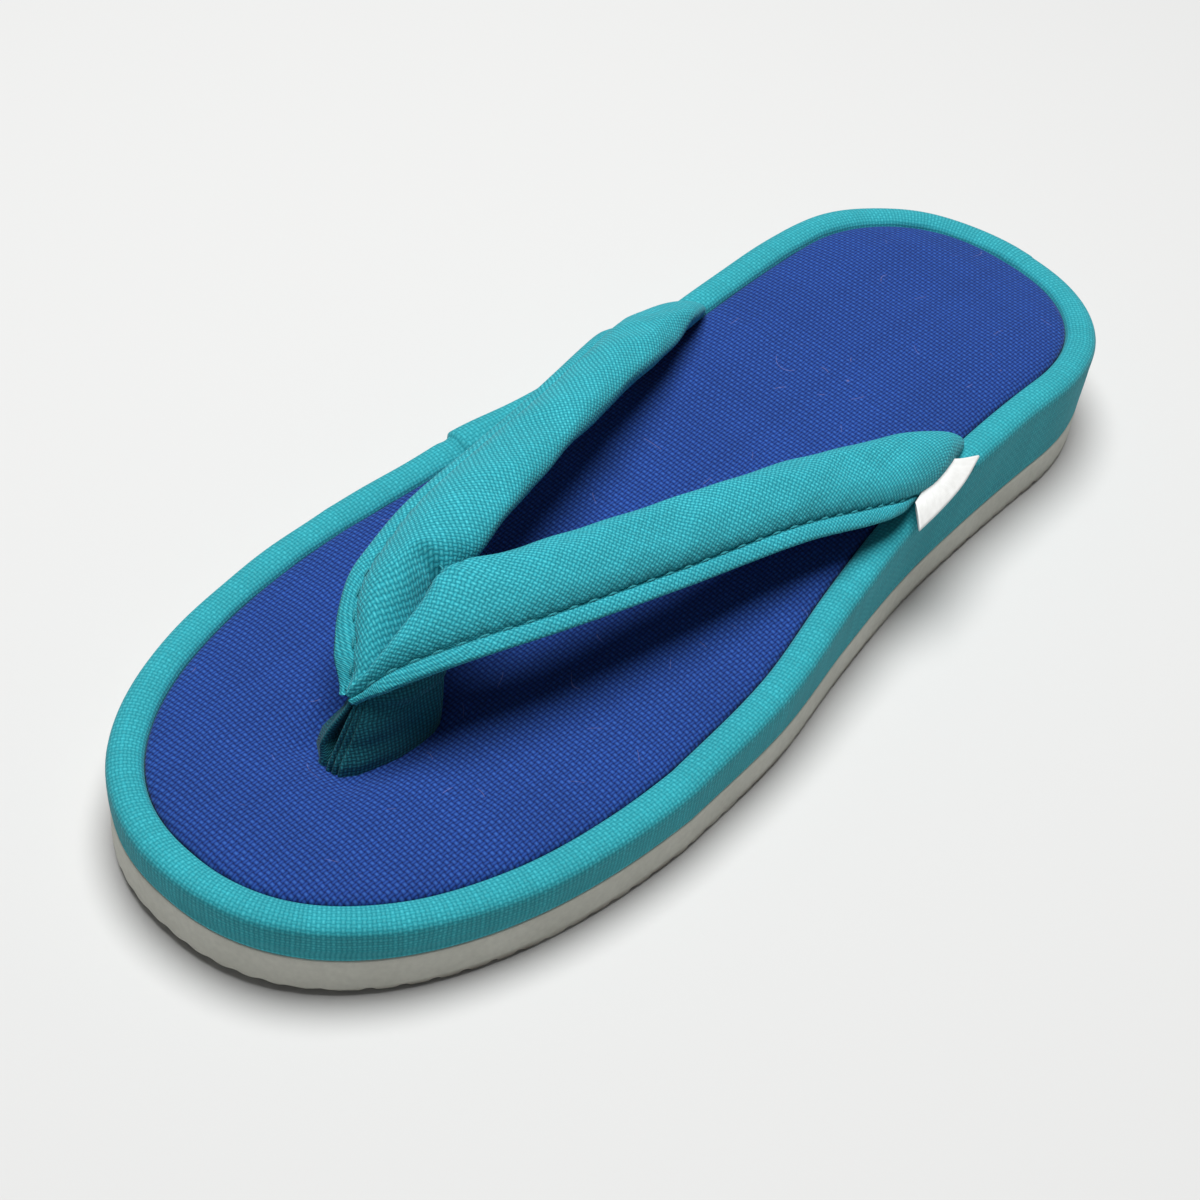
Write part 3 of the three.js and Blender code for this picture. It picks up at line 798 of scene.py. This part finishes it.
def stitches(straps):
    """The thread that closes both straps, in the crease beside the flange, and the tacks that
    hold the V at its notch and its tip."""
    place, middle, across, up, half, _ = strap_frame()
    run = run_length(middle)
    crease = middle + across * (half + 0.45)[:, None]
    last = np.interp(FLANGE["last_row"], place, run)
    count = STITCH["points"]
    spread = np.linspace(-0.5, 0.5, count)
    arch = STITCH["arch"] * np.cos(np.linspace(-1.2, 1.2, count))
    skin = Skin()
    for number in range(1, int(last / STITCH_PITCH)):
        at = number * STITCH_PITCH + spread * STITCH["long"]
        line, upward, sideways = (along_line(table, run, at) for table in (crease, up, across))
        spine = line + upward * (STITCH["sunk"] + arch)[:, None]
        for side in (1, -1):
            mirror = (1, side, 1)
            add_stitch(skin, finish_v(spine * mirror), upward * mirror, sideways * mirror)
    surface = BVHTree.FromObject(straps, bpy.context.evaluated_depsgraph_get())
    down = Vector((0, 0, -1))
    for x, y, turned, length in TACKS:
        turned = math.radians(turned)
        ahead = np.array((math.cos(turned), math.sin(turned), 0))
        line = np.array((x, y, 0)) + spread[:, None] * length * ahead
        over_ends = [Vector((*end[:2], 60)) * MM for end in line[[0, -1]]]
        ends = [surface.ray_cast(place, down)[0].z / MM for place in over_ends]
        upward = np.tile((0.0, 0.0, 1.0), (count, 1))
        spine = line + upward * (np.linspace(*ends, count) + arch)[:, None]
        add_stitch(skin, spine, upward, np.cross(upward, ahead))
    return skin.build("strap_stitches", sewing_thread())


# ---- toe post --------------------------------------------------------------------------------

def rolled_fold(front, centre, wide, bulge):
    """Plan of one rolled fold, bulging forward between its two creases."""
    turn = np.radians(np.linspace(80, -80, 8))
    return [(front - bulge + bulge * math.cos(a), centre + wide * math.sin(a)) for a in turn]


def post_plan(foot_share, gap, deep):
    """Plan of the folded tab, 0 to 1 along and -1 to 1 across: from the outer side three folds that
    step forward, a gap, and one thick fold on the inner side. The sides spread to the back."""
    forward, at_foot, above = np.array(POST_SIDE).T
    half = above + (at_foot - above) * foot_share
    wide = 0.36 + 0.1 * foot_share
    outer = []
    for centre, back in ((0.84, 0.11), (0.5, 0.065), (0.17, 0.03)):
        outer += rolled_fold(1 - back * (1 - 0.6 * foot_share), centre * wide, 0.16 * wide, 0.035)
    mouth = [(0.93 - deep * share, -gap * place) for share, place in ((0.4, 0.1), (1, 0.5), (0.4, 0.9))]
    roll = wide * (0.27 + 0.1 * foot_share)
    inner = rolled_fold(1 - 0.03 * foot_share, -gap - roll, roll, 0.05)
    inner_side = np.column_stack([forward, -half - 0.06 * ease(forward / 0.8)])[:0:-1]
    return np.array(list(zip(forward, half)) + outer + mouth + inner + list(inner_side))


def toe_post():
    """The folded tab, section by section from its foot in the insole to its head under the V."""
    foot, head, uneven, tuck = (POST[key] for key in ("foot", "head", "uneven", "tuck"))
    rings = []
    for rise in np.linspace(0, 1, 64):
        front, back, up, half, middle = (foot[key] + (head[key] - foot[key]) * rise
                                         for key in ("front", "back", "up", "half", "middle"))
        foot_share = float(ease((0.42 - rise) / 0.24))
        leaf = float(ease((rise - 0.14) / 0.24) * ease((0.93 - rise) / 0.5))
        forward, sideways = post_plan(foot_share, 0.02 + 0.24 * leaf, 0.03 + 0.15 * leaf).T
        at_front = ease((forward - 0.8) / 0.15)
        front += POST["belly"] * math.sin(math.pi * rise**0.8)
        along = back + (front - back) * forward
        outside = np.sign(sideways) * ease(np.abs(sideways) / 0.4)
        bulge = POST["side_belly"] * math.sin(math.pi * rise)
        bulge += uneven["high"] * soft_noise(along, 20 * rise + 9 * outside, uneven["size"], 8)
        fold = tuck["deep"] * ease((rise - 0.62 - 0.3 * forward**2) / tuck["over"])
        fold *= np.sin(math.pi * np.clip(forward * 1.08, 0, 1)) ** 0.8
        across = middle + sideways * half + outside * (bulge + fold) * (1 - at_front)
        level = up + rise * POST["back_rise"] * (1 - forward)
        rings.append(np.column_stack([along, across, level]))
    rings = np.array(rings)
    skin = Skin()
    skin.fan_ends(rings, skin.grid(rings, closed=True))
    return skin.build("toe_post_fold", post_canvas())


# ---- ribbon tab ------------------------------------------------------------------------------

def ribbon_tab():
    """A blank ribbon folded in half: its fold lies outside and its two ends go under the strap."""
    columns = 40
    place = np.linspace(0, 3, columns)
    sewn, fold, under = (rail(LABEL[key], place) for key in ("sewn", "fold", "under"))
    rear = ease(np.linspace(-1.2, 1, columns))
    hollow = LABEL_HOLLOW * np.outer(rear, (1, 0, 0))
    radius = RIBBON["fold"]
    outward = fold - sewn
    outward /= np.linalg.norm(outward, axis=1)[:, None]
    rows = []
    for t in np.linspace(0, 1, 10):
        arch = math.sin(math.pi * t)
        rows.append(sewn * (1 - t) + fold * t + arch * (hollow + (0, 0, LABEL_CROWN)))
    for turn in np.linspace(math.pi / 2, -math.pi / 2, 7)[1:-1]:
        rows.append(fold + outward * radius * math.cos(turn) + (0, 0, radius * (math.sin(turn) - 1)))
    for t in np.linspace(0, 1, 9):
        rows.append((fold - (0, 0, 2 * radius)) * (1 - t) + under * t + math.sin(math.pi * t) * hollow)
    points = np.array(rows)
    u = np.repeat(run_length(fold)[None], len(points), axis=0)
    v = np.repeat(run_length(points[:, columns // 2])[:, None], columns, axis=1)
    skin = Skin()
    skin.grid(points, uv=(u, v))
    tab = skin.build("ribbon_tab", ribbon())
    solid = tab.modifiers.new("thickness", "SOLIDIFY")
    solid.thickness = RIBBON["thick"] * MM
    solid.offset = 0
    return tab


# ---- finishes --------------------------------------------------------------------------------

def linear(colour):
    """Linear colour from an sRGB hex value."""
    parts = [int(colour[i:i + 2], 16) / 255 for i in (1, 3, 5)]
    return [p / 12.92 if p <= 0.04045 else ((p + 0.055) / 1.055) ** 2.4 for p in parts] + [1.0]


def new_finish(name):
    material = bpy.data.materials.new(name)
    material.use_nodes = True
    material.node_tree.nodes.clear()
    return material


def add(material, kind, inputs=None, **settings):
    """Adds a node. inputs maps a socket's name or number to a value, a node or another's socket."""
    tree = material.node_tree
    node = tree.nodes.new("ShaderNode" + kind)
    for name, value in settings.items():
        setattr(node, name, value)
    for key, value in (inputs or {}).items():
        if isinstance(value, bpy.types.Node):
            value = value.outputs[0]
        if isinstance(value, bpy.types.NodeSocket):
            tree.links.new(value, node.inputs[key])
        else:
            node.inputs[key].default_value = value
    return node


def finish_surface(material, colour, roughness, height, relief, **constants):
    """The shader itself: colour and roughness from nodes, a bump of the given relief in mm."""
    bump = add(material, "Bump", {"Height": height, "Distance": relief * MM, "Strength": 1.0})
    inputs = {"Base Color": colour, "Normal": bump, "Roughness": roughness}
    for socket, value in constants.items():
        inputs[socket.replace("_", " ")] = value
    surface = add(material, "BsdfPrincipled", inputs)
    add(material, "OutputMaterial", {"Surface": surface})
    return material


def thread_places(material, cloth, threads):
    """Places on the cloth counted in threads each way, a little uneven as in real spun yarn."""
    slow = add(material, "TexNoise", {"Vector": cloth, "Scale": 1 / (9 * MM), "Detail": 1.0})
    half = (0.5, 0.5, 0.5)
    centred = add(material, "VectorMath", {0: slow.outputs["Color"], 1: half}, operation="SUBTRACT")
    drift = add(material, "VectorMath", {0: centred, "Scale": 0.9 * MM}, operation="SCALE")
    moved = add(material, "VectorMath", {0: cloth, 1: drift}, operation="ADD")
    parts = add(material, "SeparateXYZ", {0: moved}).outputs
    return [add(material, "Math", {0: part, 1: threads[way] * MM}, operation="DIVIDE")
            for part, way in zip(parts, ("along", "across"))]


def plain_weave(material, cloth, threads):
    """Height of a plain weave, 0 in its holes and 1 on its threads, and each thread's own shade.
    The yarns that run across stand a little prouder than those that run along."""
    waves = []
    shades = []
    for place in thread_places(material, cloth, threads):
        half_turns = add(material, "Math", {0: place, 1: math.pi}, operation="MULTIPLY")
        waves.append(add(material, "Math", {0: half_turns}, operation="SINE"))
        number = add(material, "Math", {0: place}, operation="FLOOR")
        shades.append(add(material, "TexWhiteNoise", {"W": number}, noise_dimensions="1D"))
    over = add(material, "Math", {0: waves[0], 1: waves[1]}, operation="MULTIPLY")
    heights = []
    for wave, lift, level in zip(waves, (0.5, -0.38), (0.5, 0.38)):
        across_thread = add(material, "Math", {0: wave}, operation="ABSOLUTE")
        ride = add(material, "Math", {0: over, 1: lift, 2: level}, operation="MULTIPLY_ADD")
        heights.append(add(material, "Math", {0: across_thread, 1: ride}, operation="MULTIPLY"))
    height = add(material, "Math", {0: heights[0], 1: heights[1]}, operation="MAXIMUM")
    on_top = add(material, "Math", {0: over, 1: 0.0}, operation="GREATER_THAN")
    return height, add(material, "Mix", {0: on_top, 2: shades[1], 3: shades[0]})


def canvas(name, colours, threads, relief, lint=None):
    """Plain-weave cotton canvas. The holes between threads are coloured dark as painted shade and the
    crowns of the threads light as a painted highlight; every yarn has its own slight tone, and fine fuzz
    softens it all."""
    material = new_finish(name)
    cloth = add(material, "UVMap", uv_map="cloth").outputs[0]
    height, shade = plain_weave(material, cloth, threads)
    # the ramp runs from painted shade in the holes between threads, through the body colour, to a
    # painted highlight on the threads' crowns
    weave = add(material, "ValToRGB", {0: height})
    weave_shade_highlight_stops = weave.color_ramp.elements
    weave_shade_highlight_stops.new(0.5)
    for element, place, colour in zip(weave_shade_highlight_stops, (0.12, 0.5, 0.96), colours):
        element.position = place
        element.color = linear(colour)
    fuzz = add(material, "TexNoise", {"Vector": cloth, "Scale": 1 / (0.35 * MM), "Detail": 2.0})
    worn = add(material, "TexNoise", {"Vector": cloth, "Scale": 1 / (24 * MM), "Detail": 3.0})
    tone = add(material, "MapRange", {0: shade, 3: 0.91, 4: 1.09})
    for noise, least, most in ((fuzz, 0.9, 1.1), (worn, 0.94, 1.06)):
        patchy = add(material, "MapRange", {0: noise, 1: 0.3, 2: 0.7, 3: least, 4: most})
        tone = add(material, "Math", {0: tone, 1: patchy}, operation="MULTIPLY")
    colour = add(material, "VectorMath", {0: weave, "Scale": tone}, operation="SCALE")
    if lint:
        colour = stray_fibres(material, cloth, colour, lint)
    fine = add(material, "Math", {0: fuzz, 1: 0.25, 2: height}, operation="MULTIPLY_ADD")
    return finish_surface(material, colour, 0.88, fine, relief,
                          Sheen_Weight=0.06, Sheen_Roughness=0.5, Specular_IOR_Level=0.2)


def stray_fibres(material, cloth, colour, lint):
    """A few pale specks and thin curled fibres that lie on the cloth."""
    specks = add(material, "TexVoronoi", {"Vector": cloth, "Scale": 1 / (9 * MM)}).outputs
    near = add(material, "MapRange", {0: specks["Distance"], 1: 0.02, 2: 0.045, 3: 1.0, 4: 0.0})
    chosen = add(material, "SeparateColor", {0: specks["Color"]})
    few = add(material, "Math", {0: chosen, 1: 0.82}, operation="GREATER_THAN")
    speck = add(material, "Math", {0: near, 1: few}, operation="MULTIPLY")
    curl, patch = (add(material, "TexNoise", {"Vector": cloth, "Scale": 1 / (size * MM), "Detail": 0.0})
                   for size in (13, 5))
    centred = add(material, "Math", {0: curl, 1: 0.52}, operation="SUBTRACT")
    away = add(material, "Math", {0: centred}, operation="ABSOLUTE")
    line = add(material, "MapRange", {0: away, 1: 0.0008, 2: 0.003, 3: 1.0, 4: 0.0})
    short = add(material, "MapRange", {0: patch, 1: 0.66, 2: 0.7})
    fibre = add(material, "Math", {0: line, 1: short}, operation="MULTIPLY")
    both = add(material, "Math", {0: speck, 1: fibre}, operation="MAXIMUM")
    amount = add(material, "Math", {0: both, 1: 0.26}, operation="MULTIPLY")
    return add(material, "Mix", {0: amount, 6: colour, 7: linear(lint)}, data_type="RGBA").outputs[2]


def footbed_canvas():
    """Royal-blue cotton canvas, coarse, with a little lint on it."""
    colours = ("#0d1f54", "#1c408d", "#305aa2")
    return canvas("footbed cotton canvas", colours, FOOTBED_THREADS, 0.12, lint="#a99cc0")


def rim_canvas():
    """Teal cotton canvas, drawn tight over the wedge's rolled rim."""
    return canvas("rim cotton canvas", ("#1f828e", "#2c9ca8", "#43abb5"), RIM_THREADS, 0.07)


def strap_canvas():
    """Teal cotton canvas of the padded straps."""
    return canvas("strap cotton canvas", ("#177483", "#2a9daa", "#4dbac4"), STRAP_THREADS, 0.11)


def post_canvas():
    """Teal cotton canvas of the folded post, coloured darker than the straps as painted shade for the
    shadow the straps cast on it.
    """
    # all three colours are darker than the strap's: painted shade for the shadow under the straps
    return canvas("post cotton canvas with painted shade", ("#093e49", "#115d68", "#297c87"), STRAP_THREADS, 0.1)


def sewing_thread():
    """Spun polyester sewing thread, teal, with a fine twist whose grooves carry painted shade and whose
    ridges a painted highlight.
    """
    material = new_finish("polyester sewing thread")
    cloth = add(material, "UVMap", uv_map="cloth")
    parts = add(material, "SeparateXYZ", {0: cloth}).outputs
    lean = add(material, "Math", {0: parts[0], 1: parts[1]}, operation="ADD")
    turns = add(material, "Math", {0: lean, 1: 2 * math.pi / (0.3 * MM)}, operation="MULTIPLY")
    twist = add(material, "Math", {0: turns}, operation="SINE")
    shade = add(material, "MapRange", {0: twist, 1: -1.0})
    # dark where the twist dips and light where it rises: painted shade and painted highlight along the
    # twist
    colours = {0: shade, 6: linear("#137582"), 7: linear("#42b6c0")}
    colour = add(material, "Mix", colours, data_type="RGBA").outputs[2]
    return finish_surface(material, colour, 0.6, twist, 0.04, Specular_IOR_Level=0.4)


def sole_foam():
    """Moulded EVA foam: matt, off-white, with a fine skin grain and grime near the floor."""
    material = new_finish("outsole EVA foam")
    place = add(material, "TexCoord").outputs["Object"]
    grain, pores, cloud = (
        add(material, "TexNoise", {"Vector": place, "Scale": 1 / (size * MM), "Detail": detail})
        for size, detail in ((0.8, 4.0), (1.3, 3.0), (14, 4.0)))
    shades = {0: cloud, 6: linear("#bcbcb1"), 7: linear("#d3d3c9")}
    shade = add(material, "Mix", shades, data_type="RGBA").outputs[2]
    mottle = add(material, "MapRange", {0: pores, 1: 0.3, 2: 0.7, 3: 0.95, 4: 1.05})
    clean = add(material, "VectorMath", {0: shade, "Scale": mottle}, operation="SCALE")
    height = add(material, "SeparateXYZ", {0: place}).outputs[2]
    low = add(material, "MapRange", {0: height, 1: 0.7 * MM, 2: 2.3 * MM, 3: 1.0, 4: 0.0})
    smudge = add(material, "MapRange", {0: cloud, 1: 0.3, 2: 0.6, 3: 0.35})
    dirt = add(material, "Math", {0: low, 1: smudge}, operation="MULTIPLY")
    dirt = add(material, "Math", {0: dirt, 1: 0.85}, operation="MULTIPLY")
    grime = {0: dirt, 6: clean, 7: linear("#5f5140")}
    colour = add(material, "Mix", grime, data_type="RGBA").outputs[2]
    rough = add(material, "MapRange", {0: grain, 3: 0.6, 4: 0.8})
    return finish_surface(material, colour, rough, grain, 0.05, IOR=1.49, Specular_IOR_Level=0.35)


def ribbon():
    """White woven polyester ribbon: a fine, slightly shiny cross-rib."""
    material = new_finish("polyester ribbon")
    cloth = add(material, "UVMap", uv_map="cloth").outputs[0]
    parts = add(material, "SeparateXYZ", {0: cloth})
    turns = add(material, "Math", {0: parts, 1: 2 * math.pi / (0.4 * MM)}, operation="MULTIPLY")
    ribs = add(material, "Math", {0: turns}, operation="SINE")
    fibres = add(material, "TexNoise", {"Vector": cloth, "Scale": 1 / (1.5 * MM), "Detail": 3.0})
    whites = {0: fibres, 6: linear("#dcdcd9"), 7: linear("#f7f7f5")}
    colour = add(material, "Mix", whites, data_type="RGBA").outputs[2]
    height = add(material, "Math", {0: ribs, 1: 0.5, 2: fibres}, operation="MULTIPLY_ADD")
    return finish_surface(material, colour, 0.55, height, 0.03, Specular_IOR_Level=0.4)


# ---- floor, light and camera -----------------------------------------------------------------

def floor():
    """A sheet of matt paper, far wider than the view."""
    corners = np.array([(-1, -1, 0), (1, -1, 0), (1, 1, 0), (-1, 1, 0)]) * FLOOR_REACH * MM
    mesh = bpy.data.meshes.new("floor")
    mesh.from_pydata(corners.tolist(), [], [(0, 1, 2, 3)])
    material = new_finish("matt white paper")
    grain = add(material, "TexNoise", {"Scale": 900.0})
    finish_surface(material, linear("#d1d1d0"), 0.9, grain, 0.02, Specular_IOR_Level=0.1)
    mesh.materials.append(material)
    place_in_scene("floor", mesh)


def studio():
    """Faint even light from all round, and one large round soft box overhead."""
    world = bpy.data.worlds.new("studio")
    world.use_nodes = True
    background = world.node_tree.nodes["Background"]
    background.inputs["Color"].default_value = linear(SURROUND["colour"])
    background.inputs["Strength"].default_value = SURROUND["strength"]
    bpy.context.scene.world = world
    lamp = bpy.data.lights.new("overhead", "AREA")
    lamp.shape = "DISK"
    lamp.size = LAMP["size"] * MM
    lamp.energy = LAMP["watts"]
    thing = place_in_scene("overhead", lamp)
    thing.location = Vector(LAMP["place"]) * MM
    thing.rotation_euler = (-thing.location).to_track_quat("-Z", "Y").to_euler()
    bpy.context.scene.view_settings.view_transform = "Standard"


def camera():
    """Looks down over the toe's outer side, a little rolled."""
    azimuth, elevation, roll = (math.radians(CAMERA[key]) for key in ("azimuth", "elevation", "roll"))
    back = Vector((math.sin(azimuth) * math.cos(elevation), -math.cos(azimuth) * math.cos(elevation),
                   math.sin(elevation)))
    right = Vector((0, 0, 1)).cross(back).normalized()
    upward = back.cross(right)
    across = math.cos(roll) * right + math.sin(roll) * upward
    rise = -math.sin(roll) * right + math.cos(roll) * upward
    lens = bpy.data.cameras.new("camera")
    lens.sensor_width = 36
    lens.lens = CAMERA["lens"]
    lens.clip_start = 0.01
    turn = Matrix((across, rise, back)).transposed().to_4x4()
    place = (Vector(CAMERA["look_at"]) + back * CAMERA["distance"]) * MM
    thing = place_in_scene("camera", lens)
    thing.matrix_world = Matrix.Translation(place) @ turn
    bpy.context.scene.camera = thing


# ---- assembly --------------------------------------------------------------------------------

camera()
floor()
studio()

sole = outsole()
wrap = wedge()
pad = insole()
straps = upper()
thread = stitches(straps)
post = toe_post()
tab = ribbon_tab()

for piece, node, slot in (
    (sole, "outsole", "sole_foam"),
    (wrap, "midsole", "wrap_canvas"),
    (pad, "insole", "footbed_canvas"),
    (straps, "upper", "strap_canvas"),
    (post, "toe_post", "post_canvas"),
    (tab, "label", "ribbon"),
):
    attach(piece, "root")
    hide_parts(node)
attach(thread, "root")
